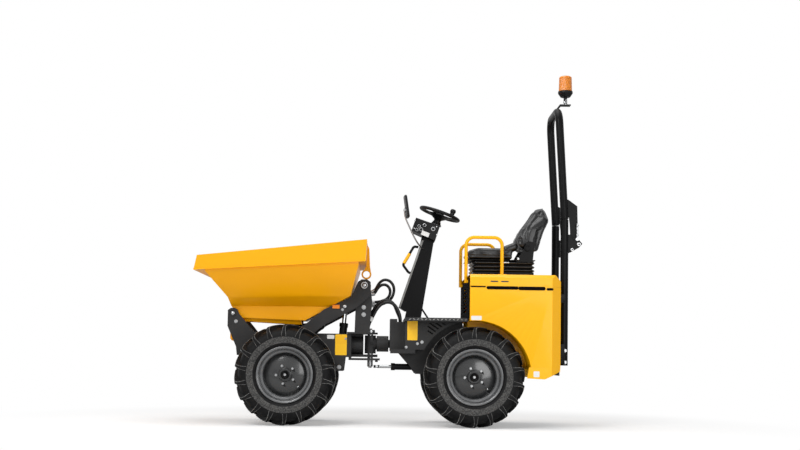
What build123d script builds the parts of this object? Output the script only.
"""Site dumper: one-tonne articulated high-tip dumper with a folding roll-over frame.

Millimetres, +X forward, +Y to the machine's left, +Z up, ground at Z = 0.
The origin is under the middle of the machine's overall box.
"""

from build123d import *
import math
import os

# ---------------------------------------------------------------- wheels
HUB_Z = 380.0
FRONT_HUB_X = 781.0
REAR_HUB_X = -641.0
WHEEL_Y = 363.0
TYRE_RADIUS = 380.0
TYRE_HALF_WIDTH = 132.0
TYRE_FACETS = 18
LUGS_PER_SIDE = 18
LUG_DEPTH = 27.0
LUG_HALF_WIDTH = 15.0
LUG_LEAD = 70.0
BEAD_RADIUS = 196.0
RIM_FLANGE_RADIUS = 212.0
RIM_HALF_WIDTH = 108.0
RIM_WALL = 6.0
RIM_BEAD_SEAT = 16.0
RIM_WELL_RADIUS = 170.0
RIM_WELL_HALF_WIDTH = 62.0
RIM_DISC_THICKNESS = 12.0
RIM_DISC_OFFSET = 6.0
RIM_DISH_RADIUS = 142.0
HUB_RADIUS = 52.0
HUB_HEIGHT = 34.0
SPINDLE_RADIUS = 32.0
AXLE_RADIUS = 44.0
AXLE_HALF_LENGTH = 285.0
ARCH_RADIUS = 425.0

# ---------------------------------------------------------------- running clearances
BEARING_GAP = 0.3
SEAT_GAP = 0.3
EYE_GAP = 1.0

# ---------------------------------------------------------------- centre pivot
KINGPIN_X = 146.0
KINGPIN_RADIUS = 22.0
KINGPIN_LOW_Z = 447.0
KINGPIN_HIGH_Z = 733.0
KNUCKLE_RADIUS = 44.0
KNUCKLE_LOW_Z = 548.0
KNUCKLE_HIGH_Z = 690.0
PIVOT_AXIS_Z = 625.0
PIVOT_HOUSING_RADIUS = 62.0
PIVOT_HOUSING_REAR_X = 4.0
PIVOT_SHAFT_RADIUS = 32.0
PIVOT_SHAFT_REAR_X = -92.0
PIVOT_NUT_RADIUS = 48.0
EAR_RADIUS = 58.0
EAR_THICKNESS = 20.0

# ---------------------------------------------------------------- front chassis
RAIL_INNER_Y = 122.0
RAIL_OUTER_Y = 142.0
RAIL_LOW_Z = 517.0
RAIL_HIGH_Z = 698.0
RAIL_REAR_X = 292.0
RAIL_FRONT_X = 940.0
CROSS_PLATE_THICKNESS = 20.0
DECK_THICKNESS = 14.0
TOWER_DECK_FRONT_X = 326.0
TAIL_RADIUS = 74.0
TAIL_Z = 612.0
TAIL_REAR_X = 200.0
TOWER_REAR_X = 135.0
TOWER_FRONT_X = 268.0
TOWER_INNER_Y = 150.0
TOWER_OUTER_Y = 172.0
LIFT_PIVOT_X = 197.0
LIFT_PIVOT_Z = 1072.0
LIFT_PIVOT_RADIUS = 28.0
TOWER_PIN_X = 199.0
TOWER_PIN_Z = 903.0
TOWER_PIN_RADIUS = 16.0
HOSE_PLATE_X = 152.0
HOSE_PLATE_THICKNESS = 8.0
HOSE_PLATE_LOW_Z = 905.0
HOSE_PLATE_HIGH_Z = 1055.0
HOSE_PLATE_SIDE_Y = 58.0

# ---------------------------------------------------------------- lift arm
ARM_INNER_Y = 185.0
ARM_OUTER_Y = 205.0
SKIP_PIVOT_X = 1205.0
SKIP_PIVOT_Z = 842.0
SKIP_PIVOT_RADIUS = 22.0
LIFT_PIN_X = 345.0
LIFT_PIN_Z = 906.0
RAM_FOOT_X = 384.0
RAM_FOOT_Z = 439.0
RAM_PIN_RADIUS = 15.0
LIFT_RAM_Y = 84.0
LIFT_EYE_HALF_WIDTH = 22.0
LIFT_BARREL_RADIUS = 28.0
LIFT_ROD_RADIUS = 15.0
LIFT_BARREL_LENGTH = 345.0
TIP_TUBE_X = 545.0
TIP_TUBE_Z = 765.0
CROSS_TUBE_RADIUS = 24.0
FRONT_TUBE_X = 1005.0
FRONT_TUBE_Z = 565.0
TIP_BARREL_RADIUS = 31.0
TIP_BARREL_LENGTH = 395.0
TIP_ROD_RADIUS = 17.0
LEVER_PIN_X = 1215.0
LEVER_PIN_Z = 660.0
TIP_EYE_HALF_WIDTH = 26.0
LEVER_INNER_Y = 34.0
LEVER_OUTER_Y = 50.0

# ---------------------------------------------------------------- skip
SKIP_WALL = 5.0
RIM_HALF_Y = 485.0
SKIP_SECTIONS = (
    # rear x, rear z, front x, front z, half width
    (653.0, 795.0, 1160.0, 812.0, 165.0),
    (455.0, 905.0, 1222.0, 900.0, 178.0),
    (300.0, 987.0, 1236.0, 962.0, 300.0),
    (239.0, 1212.0, 1392.0, 1150.0, 462.0),
)
SKIP_RIM = ((1451.0, 1267.0), (1475.0, 1156.0), (186.0, 1237.0), (178.0, 1403.0))
SKIP_MOUTH = (204.0, 1420.0, 1428.0, 1290.0, 470.0)
TUB_IN_RIM = 60.0
RIM_LIP_HEIGHT = 12.0
RIM_LIP_OUT = 4.0
EYE_X = 184.0
EYE_Z = 1170.0
EYE_HALF_THICKNESS = 8.0
EYE_OUTER_RADIUS = 39.0
EYE_HOLE_RADIUS = 26.0

# ---------------------------------------------------------------- rear chassis
FRAME_FRONT_X = -6.0
FRAME_PLATE_REAR_X = -62.0
FRAME_HALF_Y = 150.0
FRAME_LOW_Z = 570.0
FRAME_RAIL_INNER_Y = 138.0
FRAME_RAIL_LOW_Z = 450.0
FRAME_RAIL_HIGH_Z = 640.0
SIDE_PLATE_Y = 280.0
SIDE_PLATE_THICKNESS = 8.0
STEP_LOW_Z = 552.0
STEP_HIGH_Z = 582.0
STEP_REAR_X = -199.0
STEP_FRONT_X = -14.0
LOUVRE_ANGLE = 34.0
LOUVRE_COUNT = 5
LOUVRE_RISE = 34.0
LOUVRE_WIDTH = 11.0
LOUVRE_FRONT_X = -292.0
LOUVRE_FRONT_Z = 728.0
LOUVRE_TOP_Z = 786.0
LOUVRE_LOW_Z = 604.0
LOUVRE_ARCH_EDGE = 22.0
STEER_FOOT_X = -247.0
STEER_FOOT_Y = 95.0
STEER_FRONT_X = 96.0
STEER_FRONT_Y = 105.0
STEER_Z = 448.0
STEER_BARREL_RADIUS = 24.0
STEER_ROD_RADIUS = 12.0
STEER_BARREL_LENGTH = 230.0
STEER_PIN_RADIUS = 11.0
STEER_PIN_REACH = 34.0

# ---------------------------------------------------------------- body and deck
DECK_TOP_Z = 823.0
DECK_EDGE_Z = 796.0
DECK_SHEET = 5.0
DECK_HALF_Y = 420.0
DECK_FRONT_X = -115.0
DECK_REAR_X = -591.0
BODY_FRONT_X = -598.0
BODY_REAR_X = -1289.0
BODY_HALF_Y = 470.0
BODY_CORNER_X = -1216.0
BODY_CORNER_Y = 400.0
BODY_WALL = 4.0
BODY_LOW_Z = 453.0
BODY_SEAM_Z = 1063.0
BONNET_TOP_Z = 1154.0
BONNET_BEVEL = 24.0
BONNET_REAR_BEVEL = 45.0
ARCH_INNER_Y = 215.0
GRILLE_THICKNESS = 5.0

# ---------------------------------------------------------------- driver's place
COLUMN_BASE_REAR_X = -246.0
COLUMN_BASE_FRONT_X = -121.0
COLUMN_BASE_HALF_Y = 72.0
COLUMN_TOP_REAR_X = -342.0
COLUMN_TOP_FRONT_X = -248.0
COLUMN_TOP_HALF_Y = 52.0
COLUMN_WALL = 4.0
DASH_HALF_Y = 105.0
DASH_WALL = 3.0
DASH_FRONT_LOW = (-164.7, 1514.0)
DASH_REAR_LOW = (-349.6, 1434.0)
DASH_REAR_HIGH = (-386.6, 1550.0)
DASH_FRONT_HIGH = (-198.5, 1614.0)
STEERING_WHEEL_X = -388.0
STEERING_WHEEL_Z = 1655.0
STEERING_WHEEL_RADIUS = 155.0
STEERING_RIM_RADIUS = 13.0
STEERING_TILT = 19.0
KNOB_ANGLE = 42.0
STEERING_SHAFT_RADIUS = 14.0
GUARD_Y = 300.0
GUARD_RADIUS = 13.0
GUARD_FRONT_X = -578.0
GUARD_REAR_X = -853.0
GUARD_TOP_Z = 1459.0
GUARD_FRONT_FOOT_Z = 1095.0
GUARD_BEND = 62.0

# ---------------------------------------------------------------- seat
SEAT_BASE_FRONT_X = -640.0
SEAT_BASE_REAR_X = -1110.0
SEAT_BASE_TOP_Z = 1190.0
SEAT_PAN_Z = 1279.0
SEAT_PAN_THICKNESS = 6.0
SEAT_HALF_Y = 215.0
RECLINER_THICKNESS = 8.0
CUSHION_FRONT_X = -579.0
CUSHION_REAR_X = -955.0
CUSHION_TOP_Z = 1375.0

# ---------------------------------------------------------------- roll-over frame
ROPS_X = -1339.0
ROPS_HALF_Y = 235.0
ROPS_RADIUS = 30.0
ROPS_FOOT_Z = 476.0
ROPS_POST_TOP_Z = 1597.0
ROPS_JOINT_GAP = 6.0
ROPS_TOP_X = -1290.0
ROPS_TOP_Z = 2452.0
ROPS_BEND = 105.0
FOLD_PIN_X = -1411.0
FOLD_PIN_Z = 1449.0
FOLD_PIN_RADIUS = 10.0
REAR_LUG_X = -1449.0
REAR_LUG_Z = 1408.0
REAR_LUG_RADIUS = 26.0
TONGUE_HALF = 6.0
CLEVIS_THICKNESS = 8.0
BEACON_X = -1376.0
BEACON_RADIUS = 50.0
BEACON_TOP_Z = 2770.0
BEACON_LENS_HEIGHT = 122.0
BEACON_BASE_HEIGHT = 46.0
BEACON_BASE_RADIUS = 58.0
BEACON_FOOT_RADIUS = 38.0
BEACON_DOME_FILLET = 9.0
BEACON_STEM_RADIUS = 14.0
BEACON_STEM_HEIGHT = 62.0
BEACON_PLATE_THICKNESS = 8.0
BEACON_PLATE_Z = BEACON_TOP_Z - BEACON_LENS_HEIGHT - BEACON_BASE_HEIGHT - BEACON_STEM_HEIGHT

# ---------------------------------------------------------------- hoses
HOSE_RADIUS = 10.0
SLEEVE_RADIUS = 13.0
HOSE_RUN_SHARE = 0.45
LOOP_OUTER_Y = -100.0
LOOP_INNER_Y = -75.0
LOOP_OUTER = (
    # x and z along the loop, from the hose plate back to it
    (HOSE_PLATE_X, 1035.0),
    (112.0, 1048.0),
    (88.0, 1105.0),
    (45.0, 1140.0),
    (-5.0, 1128.0),
    (-36.0, 1085.0),
    (-36.0, 1030.0),
    (-12.0, 978.0),
    (35.0, 948.0),
    (90.0, 932.0),
    (HOSE_PLATE_X, 925.0),
)
LOOP_INNER = (
    (HOSE_PLATE_X, 1012.0),
    (116.0, 1022.0),
    (98.0, 1062.0),
    (66.0, 1094.0),
    (26.0, 1096.0),
    (-2.0, 1068.0),
    (-8.0, 1028.0),
    (10.0, 988.0),
    (50.0, 966.0),
    (98.0, 956.0),
    (HOSE_PLATE_X, 953.0),
)
OVER_PIVOT_YS = (95.0, 65.0)
OVER_PIVOT = (
    # x and z over the pivot, from behind the rear frame's front plate to the tower's deck
    (-56.0, 690.0),
    (-84.0, 762.0),
    (-88.0, 832.0),
    (-82.0, 893.0),
    (-48.0, 938.0),
    (5.0, 958.0),
    (58.0, 945.0),
    (96.0, 902.0),
    (124.0, 848.0),
    (150.0, 796.0),
    (165.0, 752.0),
    (168.0, 700.0),
)


# ================================================================ helpers
def box(x_low, x_high, y_low, y_high, z_low, z_high):
    """A block between two corners."""
    centre = ((x_low + x_high) / 2, (y_low + y_high) / 2, (z_low + z_high) / 2)
    return Pos(*centre) * Box(x_high - x_low, y_high - y_low, z_high - z_low)


def prism(outline, y_low, y_high):
    """A side-view outline of (x, z) points, extruded across the machine."""
    edge = Polyline(*[(x, y_low, z) for x, z in outline], close=True)
    return extrude(make_face(edge), amount=y_high - y_low, dir=(0, 1, 0))


def bar(start, end, radius):
    """A round bar between two points."""
    start, end = Vector(*start), Vector(*end)
    place = Plane(origin=(start + end) / 2, z_dir=end - start)
    return place * Cylinder(radius, (end - start).length)


def bar_y(x, z, radius, y_low, y_high):
    """A round bar across the machine."""
    return bar((x, y_low, z), (x, y_high, z), radius)


def bar_z(x, y, radius, z_low, z_high):
    """An upright round bar."""
    return bar((x, y, z_low), (x, y, z_high), radius)


def bar_x(y, z, radius, x_low, x_high):
    """A round bar along the machine."""
    return bar((x_low, y, z), (x_high, y, z), radius)


def mirrored(shape):
    """The same shape on the machine's right-hand side."""
    return mirror(shape, about=Plane.XZ)


def both_sides(shape):
    """A shape and its mirror image as one."""
    return shape + mirrored(shape)


def tube_path(points, radius, bend):
    """A round tube swept along straight runs with one bend radius."""
    path = FilletPolyline(*points, radius=bend)
    section = Plane(origin=path @ 0, z_dir=path % 0) * Circle(radius)
    return sweep(section, path=path)


def save(name, shape):
    """Writes one piece to its own file."""
    export_step(shape, f"parts/{name}.step")


# ================================================================ wheels
def tyre_ring(radius, y):
    """A many-sided ring across the tyre, its flats at the given radius."""
    corner = radius / math.cos(math.pi / TYRE_FACETS)
    turn = 2 * math.pi / TYRE_FACETS
    points = [
        (corner * math.cos(turn * k), y, corner * math.sin(turn * k)) for k in range(TYRE_FACETS)
    ]
    return make_face(Polyline(*points, close=True))


def lug(side, start):
    """One tread bar, from the shoulder to just past the middle of the tread."""
    sections = []
    for y, top, foot, lead in (
        # distance from the middle, tip radius, foot radius, lead round the tyre
        (TYRE_HALF_WIDTH - 2, TYRE_RADIUS - 78, TYRE_RADIUS - 98, -8.0),
        (TYRE_HALF_WIDTH - 28, TYRE_RADIUS, TYRE_RADIUS - 64, 4.0),
        (8.0, TYRE_RADIUS, TYRE_RADIUS - 64, LUG_LEAD),
    ):
        corners = []
        for radius, across in ((foot, 1.3), (top, 1), (top, -1), (foot, -1.3)):
            angle = start + (lead + across * LUG_HALF_WIDTH) / TYRE_RADIUS
            corners.append((radius * math.cos(angle), side * y, radius * math.sin(angle)))
        sections.append(make_face(Polyline(*corners, close=True)))
    return loft(sections, ruled=True)


def tyre():
    """Tyre about the Y axis at the origin: a faceted carcass with its tread bars."""
    half = TYRE_HALF_WIDTH
    tread = TYRE_RADIUS - LUG_DEPTH
    bead = BEAD_RADIUS + SEAT_GAP
    bead_y = RIM_HALF_WIDTH - RIM_BEAD_SEAT - SEAT_GAP
    outside = ((half, tread - 53), (half - 14, tread - 13), (half - 44, tread))
    inside = ((half + 1, bead + 72), (bead_y, bead))
    solids = []
    for side_rings in (outside, inside):
        rings = [tyre_ring(radius, -y) for y, radius in side_rings]
        rings += [tyre_ring(radius, y) for y, radius in reversed(side_rings)]
        solids.append(loft(rings, ruled=True))
    pitch = 2 * math.pi / LUGS_PER_SIDE
    down = -math.pi / 2 - (LUG_LEAD - LUG_HALF_WIDTH) / TYRE_RADIUS
    lugs = [lug(1, down + pitch * count) for count in range(LUGS_PER_SIDE)]
    lugs += [lug(-1, down + pitch * (count + 0.5)) for count in range(LUGS_PER_SIDE)]
    return (solids[0] - solids[1]).fuse(*lugs)


def rim():
    """Deep-dished wheel rim, disc and hub about the Y axis at the origin, open towards +Y."""
    flange = RIM_FLANGE_RADIUS
    seat = BEAD_RADIUS
    well = RIM_WELL_RADIUS
    edge = RIM_HALF_WIDTH
    well_y = RIM_WELL_HALF_WIDTH
    disc_in = RIM_DISC_OFFSET
    disc_out = RIM_DISC_OFFSET + RIM_DISC_THICKNESS
    bore = SPINDLE_RADIUS + BEARING_GAP
    outline = [
        (bore, disc_in - HUB_HEIGHT),
        (HUB_RADIUS, disc_in - HUB_HEIGHT),
        (HUB_RADIUS, disc_in),
        (RIM_DISH_RADIUS, disc_in),
        (well - RIM_WALL, disc_in - 20),
        (well - RIM_WALL, -well_y),
        (seat - RIM_WALL, -well_y - 14),
        (seat - RIM_WALL, -edge),
        (flange, -edge - RIM_WALL),
        (flange, -edge),
        (seat, -edge + RIM_BEAD_SEAT),
        (seat, -well_y - 14),
        (well, -well_y),
        (well, well_y),
        (seat, well_y + 14),
        (seat, edge - RIM_BEAD_SEAT),
        (flange, edge),
        (flange, edge + RIM_WALL),
        (seat - RIM_WALL, edge),
        (seat - RIM_WALL, well_y + 14),
        (well - RIM_WALL, well_y),
        (well - RIM_WALL, disc_out - 14),
        (RIM_DISH_RADIUS, disc_out),
        (HUB_RADIUS, disc_out),
        (HUB_RADIUS - 6, disc_out + HUB_HEIGHT),
        (bore, disc_out + HUB_HEIGHT),
    ]
    face = make_face(Polyline(*[(r, y, 0) for r, y in outline], close=True))
    return revolve(face, axis=Axis.Y)


def axle(hub_x, pad_top_z, pad_y_low, pad_y_high):
    """Axle beam with differential housing, spindles and the pads that carry the chassis."""
    shape = bar_y(hub_x, HUB_Z, AXLE_RADIUS, -AXLE_HALF_LENGTH, AXLE_HALF_LENGTH)
    spindle_end = WHEEL_Y + RIM_DISC_OFFSET + RIM_DISC_THICKNESS + HUB_HEIGHT - 6
    shape += bar_y(hub_x, HUB_Z, SPINDLE_RADIUS, -spindle_end, spindle_end)
    housing = Pos(hub_x, 0, HUB_Z) * Sphere(98)
    shape += housing & box(hub_x - 98, hub_x + 98, -82, 82, HUB_Z - 98, HUB_Z + 98)
    for side in (-1, 1):
        y_low, y_high = sorted((side * pad_y_low, side * pad_y_high))
        shape += box(hub_x - 40, hub_x + 40, y_low, y_high, HUB_Z, pad_top_z)
    return shape


# ================================================================ skip
def skip_section(rear_x, rear_z, front_x, front_z, half):
    """One four-cornered ring of the skip, level across the machine."""
    corners = [
        (rear_x, -half, rear_z),
        (front_x, -half, front_z),
        (front_x, half, front_z),
        (rear_x, half, rear_z),
    ]
    return make_face(Polyline(*corners, close=True))


def skip_tub(inset, mouth):
    """The skip's tub as a solid, drawn in by an inset and carried up to a mouth section."""
    rings = []
    for rear_x, rear_z, front_x, front_z, half in SKIP_SECTIONS:
        lift = inset if not rings else 0
        ring = (rear_x + inset, rear_z + lift, front_x - inset, front_z + lift, half - inset)
        rings.append(skip_section(*ring))
    rings.append(skip_section(*mouth))
    return loft(rings, ruled=True)


def skip():
    """Open tub, rim band, lifting eye and the levers that the tip ram pulls."""
    rear_x, rear_z, front_x, front_z, half = SKIP_SECTIONS[-1]
    shape = skip_tub(0, (rear_x, rear_z + TUB_IN_RIM, front_x, front_z + TUB_IN_RIM, half))
    shape += prism(SKIP_RIM, -RIM_HALF_Y, RIM_HALF_Y)
    (low_front_x, low_front_z), (low_rear_x, low_rear_z) = SKIP_RIM[1], SKIP_RIM[2]
    lip = [
        (low_front_x, low_front_z),
        (low_front_x, low_front_z + RIM_LIP_HEIGHT),
        (low_rear_x, low_rear_z + RIM_LIP_HEIGHT),
        (low_rear_x, low_rear_z),
    ]
    shape += prism(lip, -RIM_HALF_Y - RIM_LIP_OUT, RIM_HALF_Y + RIM_LIP_OUT)
    lever = prism(
        [
            (1105, 822),
            (LEVER_PIN_X - 27, LEVER_PIN_Z - 8),
            (LEVER_PIN_X - 12, LEVER_PIN_Z - 26),
            (LEVER_PIN_X + 12, LEVER_PIN_Z - 26),
            (LEVER_PIN_X + 27, LEVER_PIN_Z - 8),
            (SKIP_PIVOT_X + 36, SKIP_PIVOT_Z),
            (1222, 880),
            (1180, 880),
        ],
        LEVER_INNER_Y,
        LEVER_OUTER_Y,
    )
    shape += both_sides(lever)
    boss = bar_y(SKIP_PIVOT_X, SKIP_PIVOT_Z, 40, -170, 170)
    shape += boss
    shape -= skip_tub(SKIP_WALL, SKIP_MOUTH)
    shape -= bar_y(SKIP_PIVOT_X, SKIP_PIVOT_Z, SKIP_PIVOT_RADIUS + BEARING_GAP, -500, 500)
    pin_low, pin_high = TIP_EYE_HALF_WIDTH + EYE_GAP, LEVER_OUTER_Y + 8
    return shape + both_sides(bar_y(LEVER_PIN_X, LEVER_PIN_Z, RAM_PIN_RADIUS, pin_low, pin_high))


def lifting_eye():
    """Plate with a round eye, hung on the back of the skip's rim."""
    rear_x = (SKIP_RIM[2][0] + SKIP_RIM[3][0]) / 2
    plate = prism(
        [
            (SKIP_RIM[2][0] - 40, EYE_Z),
            (SKIP_RIM[2][0] + 32, EYE_Z),
            SKIP_RIM[2],
            SKIP_RIM[3],
            (SKIP_RIM[3][0] - 14, SKIP_RIM[3][1] - 30),
            (rear_x - 26, 1230),
        ],
        -EYE_HALF_THICKNESS,
        EYE_HALF_THICKNESS,
    )
    plate += bar_y(EYE_X, EYE_Z, EYE_OUTER_RADIUS, -EYE_HALF_THICKNESS, EYE_HALF_THICKNESS)
    return plate - bar_y(EYE_X, EYE_Z, EYE_HOLE_RADIUS, -20, 20)


# ================================================================ lift arm
ARM_OUTLINE = (
    (148, 1099),
    (175, 1118),
    (219, 1118),
    (246, 1099),
    (300, 975),
    (504, 883),
    (640, 772),
    (760, 700),
    (1000, 690),
    (1045, 705),
    (1162, 846),
    (1170, 872),
    (1190, 884),
    (1222, 884),
    (1245, 868),
    (1246, 745),
    (1178, 588),
    (1170, 522),
    (1090, 520),
    (900, 545),
    (700, 600),
    (504, 761),
    (268, 890),
    (150, 990),
)


def lift_arm():
    """Twin side plates with the cross tubes and pins that tie them."""
    plate = prism(ARM_OUTLINE, ARM_INNER_Y, ARM_OUTER_Y)
    plate -= bar_y(LIFT_PIVOT_X, LIFT_PIVOT_Z, LIFT_PIVOT_RADIUS + BEARING_GAP, 100, 300)
    shape = both_sides(plate)
    shape += bar_y(TIP_TUBE_X, TIP_TUBE_Z, CROSS_TUBE_RADIUS, -ARM_INNER_Y - 5, ARM_INNER_Y + 5)
    shape += bar_y(FRONT_TUBE_X, FRONT_TUBE_Z, CROSS_TUBE_RADIUS, -ARM_INNER_Y - 5, ARM_INNER_Y + 5)
    eye_side = LIFT_RAM_Y + LIFT_EYE_HALF_WIDTH + EYE_GAP
    shape += both_sides(bar_y(LIFT_PIN_X, LIFT_PIN_Z, RAM_PIN_RADIUS, eye_side, ARM_OUTER_Y + 8))
    shape += bar_y(SKIP_PIVOT_X, SKIP_PIVOT_Z, SKIP_PIVOT_RADIUS, -ARM_OUTER_Y - 8, ARM_OUTER_Y + 8)
    return shape


def arm_reflector():
    """Amber side reflector on the arm's outer face."""
    y = ARM_OUTER_Y + SEAT_GAP
    return box(385, 440, y, y + 8, 890, 918)


# ================================================================ front chassis
def chassis_rail():
    """The left side rail with the foot that carries the lift ram's pin."""
    outline = [
        (RAIL_REAR_X, RAIL_LOW_Z),
        (RAM_FOOT_X - 44, RAIL_LOW_Z),
        (RAM_FOOT_X - 32, RAM_FOOT_Z - 29),
        (RAM_FOOT_X + 32, RAM_FOOT_Z - 29),
        (RAM_FOOT_X + 56, RAIL_LOW_Z),
        (RAIL_FRONT_X, RAIL_LOW_Z),
        (RAIL_FRONT_X, RAIL_HIGH_Z - 98),
        (RAIL_FRONT_X - 80, RAIL_HIGH_Z - 60),
        (RAM_FOOT_X + 176, RAIL_HIGH_Z),
        (RAIL_REAR_X, RAIL_HIGH_Z),
    ]
    return prism(outline, RAIL_INNER_Y, RAIL_OUTER_Y)


def chassis_tail():
    """Cross plate, round tail, tower deck and the two ears that hold the kingpin."""
    inner = RAIL_INNER_Y + 1
    deck_top = RAIL_HIGH_Z + DECK_THICKNESS
    plate_front = RAIL_REAR_X + CROSS_PLATE_THICKNESS
    ear_z = KNUCKLE_LOW_Z - 8 - EAR_THICKNESS
    shape = box(RAIL_REAR_X, plate_front, -inner, inner, RAIL_LOW_Z, RAIL_HIGH_Z)
    shape += bar_x(0, TAIL_Z, TAIL_RADIUS, TAIL_REAR_X, RAIL_REAR_X + 1)
    shape += box(TAIL_REAR_X, RAIL_REAR_X + 1, -30, 30, TAIL_Z, RAIL_HIGH_Z + 1)
    shape += box(
        KINGPIN_X, TOWER_DECK_FRONT_X, -TOWER_OUTER_Y, TOWER_OUTER_Y, RAIL_HIGH_Z, deck_top
    )
    shape += bar_z(KINGPIN_X, 0, EAR_RADIUS, RAIL_HIGH_Z, deck_top)
    ear_top = ear_z + EAR_THICKNESS
    shape += box(KINGPIN_X, RAIL_REAR_X + 1, -EAR_RADIUS, EAR_RADIUS, ear_z, ear_top)
    shape += bar_z(KINGPIN_X, 0, EAR_RADIUS, ear_z, ear_top)
    return shape - bar_z(KINGPIN_X, 0, KINGPIN_RADIUS + BEARING_GAP, RAM_FOOT_Z, 2 * RAIL_HIGH_Z)


def steering_arm():
    """Flat arm under the tail, with the pin that the steering ram pulls."""
    low_y, high_y = STEER_FRONT_Y - 26, STEER_FRONT_Y + 26
    low_z, high_z = RAIL_LOW_Z - 22, RAIL_LOW_Z - 6
    shape = box(STEER_FRONT_X - 26, RAIL_REAR_X + 20, low_y, high_y, low_z, high_z)
    shape += box(RAIL_REAR_X, RAIL_REAR_X + 20, low_y, RAIL_OUTER_Y, low_z, RAIL_LOW_Z + 1)
    pin_low = STEER_Z + STEER_PIN_REACH
    return shape + bar_z(STEER_FRONT_X, STEER_FRONT_Y, STEER_PIN_RADIUS, pin_low, low_z + 2)


def front_chassis():
    """Side rails and floor, the tail with its kingpin ears, and the steering arm."""
    inner = RAIL_INNER_Y + 1
    shape = both_sides(chassis_rail())
    shape += box(RAM_FOOT_X + 76, RAIL_FRONT_X, -inner, inner, RAIL_LOW_Z, RAIL_LOW_Z + 12)
    shape += chassis_tail()
    shape += steering_arm()
    pin_half = RAIL_OUTER_Y + 6
    return shape + bar_y(RAM_FOOT_X, RAM_FOOT_Z, RAM_PIN_RADIUS, -pin_half, pin_half)


def kingpin():
    """Upright pin with its head plate."""
    shape = bar_z(KINGPIN_X, 0, KINGPIN_RADIUS, KINGPIN_LOW_Z, KINGPIN_HIGH_Z)
    head_z = RAIL_HIGH_Z + DECK_THICKNESS
    shape += bar_z(KINGPIN_X, 0, KINGPIN_RADIUS + 14, head_z, KINGPIN_HIGH_Z)
    return shape


def lift_tower():
    """Twin plates behind the skip that carry the lift arm's pivot tube."""
    base_z = RAIL_HIGH_Z + DECK_THICKNESS
    plate = prism(
        [
            (TOWER_REAR_X + 20, base_z),
            (TOWER_FRONT_X, base_z),
            (TOWER_FRONT_X - 6, 930),
            (LIFT_PIVOT_X + 42, 1060),
            (LIFT_PIVOT_X + 28, 1104),
            (LIFT_PIVOT_X - 28, 1104),
            (LIFT_PIVOT_X - 44, 1070),
            (TOWER_REAR_X, 960),
        ],
        TOWER_INNER_Y,
        TOWER_OUTER_Y,
    )
    shape = both_sides(plate)
    pivot_end = ARM_OUTER_Y + 8
    shape += bar_y(LIFT_PIVOT_X, LIFT_PIVOT_Z, LIFT_PIVOT_RADIUS, -pivot_end, pivot_end)
    pin_half = TOWER_OUTER_Y + 6
    shape += bar_y(TOWER_PIN_X, TOWER_PIN_Z, TOWER_PIN_RADIUS, -pin_half, pin_half)
    hose_plate = box(
        HOSE_PLATE_X,
        HOSE_PLATE_X + HOSE_PLATE_THICKNESS,
        -TOWER_INNER_Y - 1,
        -HOSE_PLATE_SIDE_Y,
        HOSE_PLATE_LOW_Z,
        HOSE_PLATE_HIGH_Z,
    )
    return shape + hose_plate


def pivot_yoke():
    """Knuckle on the kingpin and the shaft that lets the two halves roll."""
    shape = bar_z(KINGPIN_X, 0, KNUCKLE_RADIUS, KNUCKLE_LOW_Z, KNUCKLE_HIGH_Z)
    shape += bar_x(0, PIVOT_AXIS_Z, PIVOT_HOUSING_RADIUS, PIVOT_HOUSING_REAR_X, KINGPIN_X - 50)
    shape += bar_x(0, PIVOT_AXIS_Z, 46, PIVOT_HOUSING_REAR_X, KINGPIN_X)
    shape += bar_x(0, PIVOT_AXIS_Z, PIVOT_SHAFT_RADIUS, PIVOT_SHAFT_REAR_X, PIVOT_HOUSING_REAR_X)
    nut_x = FRAME_PLATE_REAR_X - 1
    shape += bar_x(0, PIVOT_AXIS_Z, PIVOT_NUT_RADIUS, PIVOT_SHAFT_REAR_X, nut_x)
    shape -= bar_z(KINGPIN_X, 0, KINGPIN_RADIUS + BEARING_GAP, 400, 800)
    return shape


# ================================================================ rams
def ram_frame(foot, head):
    """A plane at a ram's foot, its Z axis towards the head and its X axis across the machine."""
    foot, head = Vector(*foot), Vector(*head)
    return Plane(origin=foot, x_dir=(0, 1, 0), z_dir=head - foot)


def barrel(radius, length, eye_radius, hole_radius, half_width):
    """A ram barrel along Z from its foot eye, whose pin lies along X."""
    shape = Pos(0, 0, (length + eye_radius * 0.6) / 2) * Cylinder(radius, length - eye_radius * 0.6)
    shape += Pos(0, 0, length - 15) * Cylinder(radius + 4, 30)
    shape += Rot(0, 90, 0) * Cylinder(eye_radius, 2 * half_width)
    return shape - Rot(0, 90, 0) * Cylinder(hole_radius, 4 * half_width)


def ram_bore(shape, rod_radius, length, depth):
    """The hollow in a barrel that its rod slides in."""
    return shape - Pos(0, 0, length - depth / 2) * Cylinder(rod_radius + BEARING_GAP, depth + 1)


def rod(radius, total, inside, eye_radius, hole_radius, half_width):
    """A ram rod along Z that ends in an eye at the ram's full length."""
    low = inside
    shape = Pos(0, 0, (low + total - eye_radius * 0.6) / 2) * Cylinder(
        radius, total - eye_radius * 0.6 - low
    )
    shape += Pos(0, 0, total) * Rot(0, 90, 0) * Cylinder(eye_radius, 2 * half_width)
    return shape - Pos(0, 0, total) * Rot(0, 90, 0) * Cylinder(hole_radius, 4 * half_width)


def distance(a, b):
    """The straight distance between two points."""
    return (Vector(*a) - Vector(*b)).length


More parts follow.
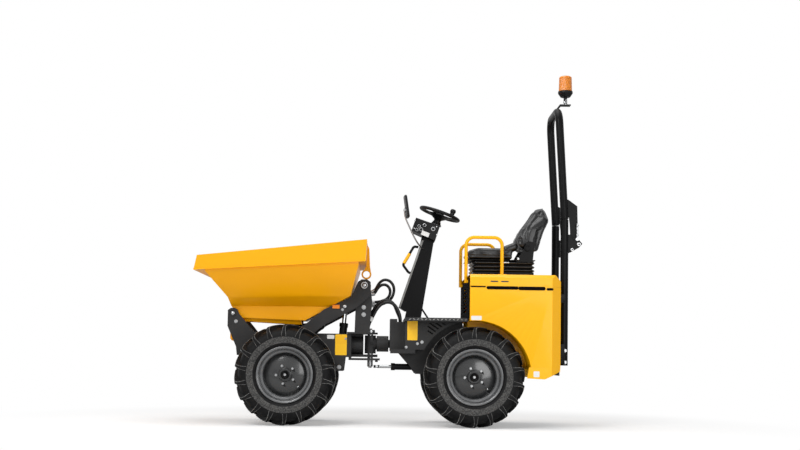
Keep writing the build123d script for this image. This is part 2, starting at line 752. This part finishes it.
def lift_ram(side):
    """One lift ram's barrel and rod, from the chassis foot to the arm's pin."""
    y = side * LIFT_RAM_Y
    foot, head = (RAM_FOOT_X, y, RAM_FOOT_Z), (LIFT_PIN_X, y, LIFT_PIN_Z)
    place = ram_frame(foot, head)
    total = distance(foot, head)
    hole = RAM_PIN_RADIUS + BEARING_GAP
    cylinder = barrel(LIFT_BARREL_RADIUS, LIFT_BARREL_LENGTH, 30, hole, 24)
    cylinder = ram_bore(cylinder, LIFT_ROD_RADIUS, LIFT_BARREL_LENGTH, 285)
    piston = rod(LIFT_ROD_RADIUS, total, LIFT_BARREL_LENGTH - 270, 28, hole, LIFT_EYE_HALF_WIDTH)
    return place * cylinder, place * piston


def tip_ram():
    """The tip ram's barrel and rod, from the arm's cross tube to the skip's levers."""
    foot, head = (TIP_TUBE_X, 0, TIP_TUBE_Z), (LEVER_PIN_X, 0, LEVER_PIN_Z)
    place = ram_frame(foot, head)
    total = distance(foot, head)
    cylinder = barrel(TIP_BARREL_RADIUS, TIP_BARREL_LENGTH, 40, CROSS_TUBE_RADIUS + BEARING_GAP, 28)
    cylinder = ram_bore(cylinder, TIP_ROD_RADIUS, TIP_BARREL_LENGTH, 335)
    inside = TIP_BARREL_LENGTH - 60
    piston = rod(TIP_ROD_RADIUS, total, inside, 28, RAM_PIN_RADIUS + BEARING_GAP, TIP_EYE_HALF_WIDTH)
    return place * cylinder, place * piston


def steer_ram():
    """The steering ram's barrel and rod, low on the left-hand side."""
    foot, head = (STEER_FOOT_X, STEER_FOOT_Y, STEER_Z), (STEER_FRONT_X, STEER_FRONT_Y, STEER_Z)
    place = Plane(origin=foot, x_dir=(0, 0, 1), z_dir=Vector(*head) - Vector(*foot))
    total = distance(foot, head)
    hole = STEER_PIN_RADIUS + BEARING_GAP
    cylinder = barrel(STEER_BARREL_RADIUS, STEER_BARREL_LENGTH, 24, hole, 15)
    cylinder = ram_bore(cylinder, STEER_ROD_RADIUS, STEER_BARREL_LENGTH, 185)
    piston = rod(STEER_ROD_RADIUS, total, STEER_BARREL_LENGTH - 95, 22, hole, 11)
    return place * cylinder, place * piston


# ================================================================ rear chassis
def louvre_slots():
    """Slanting air slots in the left side plate, clear of its top edge and the wheel arch."""
    y_low, y_high = SIDE_PLATE_Y - 2 * SIDE_PLATE_THICKNESS, SIDE_PLATE_Y + 10
    field = box(DECK_REAR_X, LOUVRE_FRONT_X, y_low, y_high, LOUVRE_LOW_Z, LOUVRE_TOP_Z)
    field -= bar_y(REAR_HUB_X, HUB_Z, ARCH_RADIUS + LOUVRE_ARCH_EDGE, 0, 2 * SIDE_PLATE_Y)
    length = LOUVRE_FRONT_X - DECK_REAR_X
    slots = []
    for count in range(LOUVRE_COUNT):
        place = Pos(LOUVRE_FRONT_X, SIDE_PLATE_Y, LOUVRE_FRONT_Z + LOUVRE_RISE * count)
        strip = place * Rot(0, -LOUVRE_ANGLE, 0) * Box(3 * length, 60, LOUVRE_WIDTH)
        slots.append(strip & field)
    return slots


def chassis_side():
    """The left inner rail, outer side plate with its louvres, and step."""
    front_x = DECK_FRONT_X - DECK_SHEET
    under_deck = DECK_TOP_Z - DECK_SHEET
    outline = [
        (FRAME_PLATE_REAR_X, FRAME_LOW_Z),
        (-150, 470),
        (STEER_FOOT_X + 42, 395),
        (STEER_FOOT_X - 43, 395),
        (-330, FRAME_RAIL_LOW_Z),
        (BODY_REAR_X + BODY_WALL, FRAME_RAIL_LOW_Z),
        (BODY_REAR_X + BODY_WALL, FRAME_RAIL_HIGH_Z),
        (-600, FRAME_RAIL_HIGH_Z),
        (-560, under_deck),
        (front_x, under_deck),
        (front_x, DECK_EDGE_Z),
        (FRAME_PLATE_REAR_X, DECK_EDGE_Z),
    ]
    rail = prism(outline, FRAME_RAIL_INNER_Y, FRAME_HALF_Y)
    inner_y = FRAME_HALF_Y - 1
    plate_y = SIDE_PLATE_Y - SIDE_PLATE_THICKNESS
    side = box(DECK_REAR_X + 1, front_x, plate_y, SIDE_PLATE_Y, STEP_HIGH_Z, under_deck)
    side -= bar_y(REAR_HUB_X, HUB_Z, ARCH_RADIUS, 100, 500)
    for slot in louvre_slots():
        side -= slot
    side += box(front_x - 8, front_x, inner_y, SIDE_PLATE_Y, STEP_HIGH_Z, under_deck)
    side += box(STEP_REAR_X, STEP_FRONT_X, inner_y, SIDE_PLATE_Y, STEP_LOW_Z, STEP_HIGH_Z)
    return rail + side


def rear_chassis():
    """Front pivot plate, both sides, the rear cross plate and the steering ram's foot."""
    under_deck = DECK_TOP_Z - DECK_SHEET
    shape = box(
        FRAME_PLATE_REAR_X, FRAME_FRONT_X, -FRAME_HALF_Y, FRAME_HALF_Y, FRAME_LOW_Z, under_deck
    )
    shape += both_sides(chassis_side())
    rear_x = BODY_REAR_X + BODY_WALL
    shape += box(rear_x, rear_x + 12, -380, 380, 400, FRAME_RAIL_HIGH_Z)
    plate_z = STEER_Z + STEER_BARREL_RADIUS + 6
    shape += box(STEER_FOOT_X - 30, STEER_FOOT_X + 30, 70, FRAME_HALF_Y, plate_z, plate_z + 14)
    shape += bar_z(STEER_FOOT_X, STEER_FOOT_Y, STEER_PIN_RADIUS, STEER_Z - 24, plate_z)
    bore = PIVOT_SHAFT_RADIUS + BEARING_GAP
    return shape - bar_x(0, PIVOT_AXIS_Z, bore, 4 * FRAME_PLATE_REAR_X, -8 * FRAME_FRONT_X)


def footplate():
    """Driver's deck: a tread sheet with turned-down edges."""
    shape = box(DECK_REAR_X, DECK_FRONT_X, -DECK_HALF_Y, DECK_HALF_Y, DECK_EDGE_Z, DECK_TOP_Z)
    shape -= box(
        DECK_REAR_X - 1,
        DECK_FRONT_X - DECK_SHEET,
        -DECK_HALF_Y + DECK_SHEET,
        DECK_HALF_Y - DECK_SHEET,
        DECK_EDGE_Z - 1,
        DECK_TOP_Z - DECK_SHEET,
    )
    return shape


def engine():
    """The engine as one plain block on the chassis rails."""
    return box(-1120, -660, -200, 200, FRAME_RAIL_HIGH_Z, 1000)


# ================================================================ bodywork
def body_envelope(inset, low, high):
    """The body's plan outline, drawn in by an inset, between two heights."""
    plan = [
        (BODY_FRONT_X + (1 if inset else 0), -BODY_HALF_Y + inset),
        (BODY_CORNER_X, -BODY_HALF_Y + inset),
        (BODY_REAR_X + inset, -BODY_CORNER_Y),
        (BODY_REAR_X + inset, BODY_CORNER_Y),
        (BODY_CORNER_X, BODY_HALF_Y - inset),
        (BODY_FRONT_X + (1 if inset else 0), BODY_HALF_Y - inset),
    ]
    face = make_face(Polyline(*[(x, y, low) for x, y in plan], close=True))
    return extrude(face, amount=high - low, dir=(0, 0, 1))


def arch_space(radius, inner_y):
    """The two spaces that the rear wheels run in."""
    space = bar_y(REAR_HUB_X, HUB_Z, radius, inner_y, BODY_HALF_Y + 10)
    return both_sides(space)


def body_panels():
    """Side and rear sheets with the wheel arches, open below, above and in front."""
    outer = body_envelope(0, BODY_LOW_Z, BODY_SEAM_Z) - arch_space(ARCH_RADIUS, ARCH_INNER_Y)
    inner = body_envelope(BODY_WALL, BODY_LOW_Z - 10, BODY_SEAM_Z + 10)
    inner -= arch_space(ARCH_RADIUS + BODY_WALL, ARCH_INNER_Y - BODY_WALL)
    return outer - inner


def bonnet_block(inset):
    """The bonnet's outside form, drawn in by an inset."""
    low = BODY_SEAM_Z - (10 if inset else 0)
    block = body_envelope(inset, low, BONNET_TOP_Z - inset)
    top_edges = block.edges().filter_by(Axis.X).group_by(Axis.Z)[-1]
    block = chamfer(top_edges, BONNET_BEVEL - inset / 2)
    bevel = prism(
        [
            (BODY_REAR_X - 10, BONNET_TOP_Z - inset - BONNET_REAR_BEVEL - 10),
            (BODY_REAR_X - 10, BONNET_TOP_Z + 10),
            (BODY_REAR_X + BONNET_REAR_BEVEL + 10 + inset, BONNET_TOP_Z + 10),
        ],
        -600,
        600,
    )
    return block - bevel


def bonnet():
    """Engine cover with a bevelled rear edge."""
    return bonnet_block(0) - bonnet_block(BODY_WALL)


def bulkhead_grille():
    """Slotted sheet between the footplate and the bonnet."""
    x = BODY_FRONT_X + SEAT_GAP
    shape = box(x, x + GRILLE_THICKNESS, -BODY_HALF_Y + 6, BODY_HALF_Y - 6, DECK_TOP_Z + SEAT_GAP, 1120)
    for row in range(7):
        z = 880 + 28 * row
        shape -= box(x - 1, x + GRILLE_THICKNESS + 1, -160, 160, z, z + 12)
    return shape


# ================================================================ driver's place
def column_block(inset):
    """The steering column's tapered form, drawn in by an inset."""
    base = skip_section(
        COLUMN_BASE_REAR_X + inset,
        DECK_TOP_Z - (1 if inset else 0),
        COLUMN_BASE_FRONT_X - inset,
        DECK_TOP_Z - (1 if inset else 0),
        COLUMN_BASE_HALF_Y - inset,
    )
    slope = (DASH_FRONT_LOW[1] - DASH_REAR_LOW[1]) / (DASH_FRONT_LOW[0] - DASH_REAR_LOW[0])
    lift = 1 if inset else -SEAT_GAP

    def under_dash(x):
        return DASH_REAR_LOW[1] + slope * (x - DASH_REAR_LOW[0]) + lift

    rear_x, front_x = COLUMN_TOP_REAR_X + inset, COLUMN_TOP_FRONT_X - inset
    top = skip_section(
        rear_x, under_dash(rear_x), front_x, under_dash(front_x), COLUMN_TOP_HALF_Y - inset
    )
    return loft([base, top], ruled=True)


def column_strut():
    """Flat brace from the column's back down to the footplate."""
    outline = [(-252, 898), (-258, 912), (-318, DECK_TOP_Z), (-302, DECK_TOP_Z)]
    return prism(outline, -8, 8) - column_block(COLUMN_WALL)


def steering_column():
    """Tapered sheet column on the footplate, with its brace and grab handle."""
    return column_block(0) - column_block(COLUMN_WALL) + column_strut() + grab_handle()


def wheel_plane(height):
    """A plane along the steering shaft, at a height above the wheel's centre."""
    tilt = math.radians(STEERING_TILT)
    normal = Vector(-math.sin(tilt), 0, math.cos(tilt))
    centre = Vector(STEERING_WHEEL_X, 0, STEERING_WHEEL_Z)
    return Plane(origin=centre + normal * height, x_dir=(0, 1, 0), z_dir=normal)


def dash_box():
    """Tilted instrument box on the column, open to its shaft."""
    outline = [DASH_FRONT_LOW, DASH_REAR_LOW, DASH_REAR_HIGH, DASH_FRONT_HIGH]
    shape = prism(outline, -DASH_HALF_Y, DASH_HALF_Y)
    inner = offset(shape, amount=-DASH_WALL)
    shape -= inner
    shape -= wheel_plane(-110) * Cylinder(STEERING_SHAFT_RADIUS + BEARING_GAP, 80)
    return shape


def steering_wheel():
    """Rim, three spokes, hub, spinner knob and shaft."""
    place = wheel_plane(0)
    shape = Torus(STEERING_WHEEL_RADIUS, STEERING_RIM_RADIUS)
    for angle in (90, 210, 330):
        spoke = Pos(STEERING_WHEEL_RADIUS / 2, 0, -4) * Box(STEERING_WHEEL_RADIUS, 24, 8)
        shape += Rot(0, 0, angle) * spoke
    shape += Pos(0, 0, -8) * Cylinder(34, 30)
    shape += Pos(0, 0, -62) * Cylinder(STEERING_SHAFT_RADIUS, 110)
    knob = Rot(0, 0, KNOB_ANGLE) * Pos(STEERING_WHEEL_RADIUS - 20, 0, 32) * Cylinder(18, 50)
    return place * (shape + knob)


def mirror_arm():
    """Stalk and mirror head on the left of the column."""
    stalk = tube_path([(-262, 48, 1372), (-196, 120, 1392), (-108, 232, 1600), (-100, 246, 1690)], 8, 25)
    head = Pos(-104, 250, 1677) * Rot(0, -10, 12) * Box(26, 118, 180)
    column = column_block(0)
    return (stalk + head) - column


def grab_handle():
    """Bent bar at the front of the column."""
    route = [(-222, 40, 1388), (-186, 40, 1392), (-102, 40, 1246), (-146, 40, 1188), (-190, 40, 1176)]
    return tube_path(route, 10, 18) - column_block(0)


def guard_rail():
    """Bent tube beside the seat, on the machine's left."""
    top = GUARD_TOP_Z - GUARD_RADIUS
    route = [
        (GUARD_FRONT_X, GUARD_Y, GUARD_FRONT_FOOT_Z),
        (GUARD_FRONT_X, GUARD_Y, top),
        (GUARD_REAR_X, GUARD_Y, top),
        (GUARD_REAR_X, GUARD_Y, BONNET_TOP_Z + 10),
    ]
    shape = tube_path(route, GUARD_RADIUS, GUARD_BEND)
    shape += box(
        GUARD_REAR_X - 32, GUARD_REAR_X + 32, GUARD_Y - 32, GUARD_Y + 32, BONNET_TOP_Z, BONNET_TOP_Z + 10
    )
    front = BODY_FRONT_X + SEAT_GAP + GRILLE_THICKNESS
    shape += box(front, GUARD_FRONT_X, GUARD_Y - 28, GUARD_Y + 28, GUARD_FRONT_FOOT_Z, GUARD_FRONT_FOOT_Z + 22)
    return shape


# ================================================================ seat
def seat_base():
    """Mounting box under the suspension bellows."""
    return box(SEAT_BASE_REAR_X, SEAT_BASE_FRONT_X, -190, 190, BONNET_TOP_Z, SEAT_BASE_TOP_Z)


def seat_bellows():
    """Rubber bellows round the seat's suspension."""
    low, high = SEAT_BASE_TOP_Z + SEAT_GAP, SEAT_PAN_Z - SEAT_GAP
    return box(SEAT_BASE_REAR_X - 10, SEAT_BASE_FRONT_X + 10, -200, 200, low, high)


def seat_frame():
    """Seat pan with the recliner side plates."""
    shape = box(-1120, -595, -205, 205, SEAT_PAN_Z, SEAT_PAN_Z + SEAT_PAN_THICKNESS)
    inner = SEAT_HALF_Y + SEAT_GAP
    outline = [(-972, 1268), (-1098, 1268), (-1112, 1420), (-1062, 1432)]
    plate = prism(outline, inner, inner + RECLINER_THICKNESS)
    plate += box(-1098, -980, 190, inner + 1, SEAT_PAN_Z, SEAT_PAN_Z + SEAT_PAN_THICKNESS)
    return shape + both_sides(plate) + seat_base()


def seat_cushion():
    """Seat cushion as one plain padded block."""
    low = SEAT_PAN_Z + SEAT_PAN_THICKNESS + SEAT_GAP
    shape = box(CUSHION_REAR_X, CUSHION_FRONT_X, -SEAT_HALF_Y, SEAT_HALF_Y, low, CUSHION_TOP_Z)
    return fillet(shape.edges(), 14)


def seat_back():
    """Back rest as one plain padded block."""
    outline = [(-985, 1388), (-1128, 1340), (-1220, 1630), (-1184, 1723), (-1135, 1704), (-1040, 1480)]
    return prism(outline, -SEAT_HALF_Y, SEAT_HALF_Y)


# ================================================================ roll-over frame
def rops_posts():
    """Lower posts with their feet, mounting pads and the clevis for the fold pin."""
    y = ROPS_HALF_Y
    post = bar_z(ROPS_X, y, ROPS_RADIUS, ROPS_FOOT_Z, ROPS_POST_TOP_Z)
    for low, high in ((490, 640), (955, 1020)):
        post += box(ROPS_X, BODY_REAR_X, y - 40, y + 40, low, high)
    outline = [
        (ROPS_X, 1486),
        (-1400, 1480),
        (FOLD_PIN_X - 24, FOLD_PIN_Z + 12),
        (REAR_LUG_X - REAR_LUG_RADIUS, REAR_LUG_Z + 4),
        (REAR_LUG_X, REAR_LUG_Z - REAR_LUG_RADIUS),
        (-1384, 1345),
        (ROPS_X, 1345),
    ]
    cheek = TONGUE_HALF + SEAT_GAP
    post += prism(outline, y + cheek, y + cheek + CLEVIS_THICKNESS)
    post += prism(outline, y - cheek - CLEVIS_THICKNESS, y - cheek)
    pin_half = cheek + CLEVIS_THICKNESS + 5
    post += bar_y(FOLD_PIN_X, FOLD_PIN_Z, FOLD_PIN_RADIUS, y - pin_half, y + pin_half)
    return both_sides(post)


def rops_hoop():
    """Upper hoop with the tongues that turn on the fold pins and the beacon's bracket."""
    low = ROPS_POST_TOP_Z + ROPS_JOINT_GAP
    route = [
        (ROPS_X, ROPS_HALF_Y, low),
        (ROPS_TOP_X, ROPS_HALF_Y, ROPS_TOP_Z),
        (ROPS_TOP_X, -ROPS_HALF_Y, ROPS_TOP_Z),
        (ROPS_X, -ROPS_HALF_Y, low),
    ]
    shape = tube_path(route, ROPS_RADIUS, ROPS_BEND)
    outline = [
        (-1345, 1756),
        (-1366, 1754),
        (-1436, 1703),
        (-1441, 1521),
        (FOLD_PIN_X - 26, FOLD_PIN_Z),
        (FOLD_PIN_X - 14, FOLD_PIN_Z - 22),
        (FOLD_PIN_X + 14, FOLD_PIN_Z - 22),
        (FOLD_PIN_X + 26, FOLD_PIN_Z),
        (-1378, 1570),
        (-1372, 1616),
        (-1345, 1618),
    ]
    tongue = prism(outline, ROPS_HALF_Y - TONGUE_HALF, ROPS_HALF_Y + TONGUE_HALF)
    hole = FOLD_PIN_RADIUS + BEARING_GAP
    tongue -= bar_y(FOLD_PIN_X, FOLD_PIN_Z, hole, 150, 300)
    shape += both_sides(tongue)
    low_z = ROPS_TOP_Z + ROPS_RADIUS - 4
    stalk = [(-1282, low_z), (-1298, low_z), (-1350, BEACON_PLATE_Z), (-1330, BEACON_PLATE_Z)]
    shape += prism(stalk, -30, 30)
    plate_low = BEACON_PLATE_Z - BEACON_PLATE_THICKNESS
    shape += box(BEACON_X - 40, -1330, -30, 30, plate_low, BEACON_PLATE_Z)
    return shape


def beacon_base():
    """Stem and funnel-shaped base of the beacon."""
    low = BEACON_PLATE_Z + SEAT_GAP
    foot_z = BEACON_TOP_Z - BEACON_LENS_HEIGHT - BEACON_BASE_HEIGHT
    top_z = foot_z + BEACON_BASE_HEIGHT
    outline = [
        (0, low),
        (BEACON_STEM_RADIUS, low),
        (BEACON_STEM_RADIUS, foot_z),
        (BEACON_FOOT_RADIUS, foot_z),
        (BEACON_BASE_RADIUS, top_z - 16),
        (BEACON_BASE_RADIUS, top_z - SEAT_GAP),
        (0, top_z - SEAT_GAP),
    ]
    face = make_face(Polyline(*[(x, 0, z) for x, z in outline], close=True))
    return Pos(BEACON_X, 0, 0) * revolve(face, axis=Axis.Z)


def beacon_lens():
    """Amber lens with a rounded top."""
    low = BEACON_TOP_Z - BEACON_LENS_HEIGHT
    lens = bar_z(BEACON_X, 0, BEACON_RADIUS + 4, low, BEACON_TOP_Z)
    top_edge = lens.edges().sort_by(Axis.Z)[-1]
    return fillet(top_edge, BEACON_DOME_FILLET)


# ================================================================ hoses
def hose_path(points):
    """Straight runs joined by arcs, each as large as its two runs allow."""
    points = [Vector(*point) for point in points]
    radii = []
    for before, here, after in zip(points, points[1:], points[2:]):
        first, second = here - before, after - here
        half_turn = math.radians(first.get_angle(second)) / 2
        shorter = min(first.length, second.length)
        radii.append(HOSE_RUN_SHARE * shorter / math.tan(half_turn))
    return FilletPolyline(*points, radius=radii), radii


def hose(name, points, radius):
    """A round hose along its route, with its length and tightest bend printed."""
    path, radii = hose_path(points)
    section = Plane(origin=path @ 0, z_dir=path % 0) * Circle(radius)
    shape = sweep(section, path=path)
    drawn = math.pi * radius**2 * path.length
    share = shape.volume / drawn
    print(f"{name}: {path.length:.0f} mm long, tightest {min(radii):.0f} mm, volume share {share:.3f}")
    return shape


def loop_hose(name, route, y):
    """A hose that leaves the tower's hose plate and loops back to it."""
    shape = hose(name, [(x, y, z) for x, z in route], HOSE_RADIUS)
    plate_rear = HOSE_PLATE_X - SEAT_GAP
    plate = box(
        plate_rear, 2 * HOSE_PLATE_X, 2 * y, 0, HOSE_PLATE_LOW_Z - 50, HOSE_PLATE_HIGH_Z + 50
    )
    return shape - plate


def pivot_hose(name, y):
    """A sleeved hose over the pivot, its ends cut flat against the two frames."""
    shape = hose(name, [(x, y, z) for x, z in OVER_PIVOT], SLEEVE_RADIUS)
    deck_top = RAIL_HIGH_Z + DECK_THICKNESS + SEAT_GAP
    shape -= box(FRAME_PLATE_REAR_X - SEAT_GAP, 0, 0, 2 * y, 600, 800)
    return shape - box(KINGPIN_X - 20, 2 * KINGPIN_X, 0, 2 * y, 600, deck_top)


# ================================================================ build
def wheels():
    """Four tyres and rims, each rim with its disc to the outside."""
    places = (
        # name, hub x, side
        ("front_left", FRONT_HUB_X, 1),
        ("front_right", FRONT_HUB_X, -1),
        ("rear_left", REAR_HUB_X, 1),
        ("rear_right", REAR_HUB_X, -1),
    )
    base_tyre = tyre()
    base_rim = rim()
    for name, hub_x, side in places:
        place = Pos(hub_x, side * WHEEL_Y, HUB_Z)
        turn = Rot(0, 0, 0 if side > 0 else 180)
        save(f"tyre_{name}", place * base_tyre)
        save(f"wheel_rim_{name}", place * turn * base_rim)


def main():
    os.makedirs("parts", exist_ok=True)
    wheels()
    save("front_axle", axle(FRONT_HUB_X, RAIL_LOW_Z, RAIL_INNER_Y - 8, RAIL_OUTER_Y))
    save("rear_axle", axle(REAR_HUB_X, FRAME_RAIL_LOW_Z, FRAME_RAIL_INNER_Y - 8, FRAME_HALF_Y))
    save("skip", skip())
    save("lifting_eye", lifting_eye())
    save("lift_arm", lift_arm())
    save("arm_reflectors", both_sides(arm_reflector()))
    save("front_chassis", front_chassis())
    save("kingpin", kingpin())
    save("lift_tower", lift_tower())
    save("pivot_yoke", pivot_yoke())
    for name, side in (("left", 1), ("right", -1)):
        cylinder, piston = lift_ram(side)
        save(f"lift_ram_barrel_{name}", cylinder)
        save(f"lift_ram_rod_{name}", piston)
    cylinder, piston = tip_ram()
    save("tip_ram_barrel", cylinder)
    save("tip_ram_rod", piston)
    cylinder, piston = steer_ram()
    save("steering_ram_barrel", cylinder)
    save("steering_ram_rod", piston)
    save("rear_chassis", rear_chassis())
    save("footplate", footplate())
    save("engine", engine())
    save("body_panels", body_panels())
    save("bonnet", bonnet())
    save("bulkhead_grille", bulkhead_grille())
    save("steering_column", steering_column())
    save("dash_box", dash_box())
    save("steering_wheel", steering_wheel())
    save("mirror", mirror_arm())
    save("guard_rail_left", guard_rail())
    save("guard_rail_right", mirrored(guard_rail()))
    save("seat_bellows", seat_bellows())
    save("seat_frame", seat_frame())
    save("seat_cushion", seat_cushion())
    save("seat_back", seat_back())
    save("rops_posts", rops_posts())
    save("rops_hoop", rops_hoop())
    save("beacon_base", beacon_base())
    save("beacon_lens", beacon_lens())
    save("hose_loop_outer", loop_hose("hose_loop_outer", LOOP_OUTER, LOOP_OUTER_Y))
    save("hose_loop_inner", loop_hose("hose_loop_inner", LOOP_INNER, LOOP_INNER_Y))
    for side, y in zip(("left", "right"), OVER_PIVOT_YS):
        name = f"hose_over_pivot_{side}"
        save(name, pivot_hose(name, y))


main()
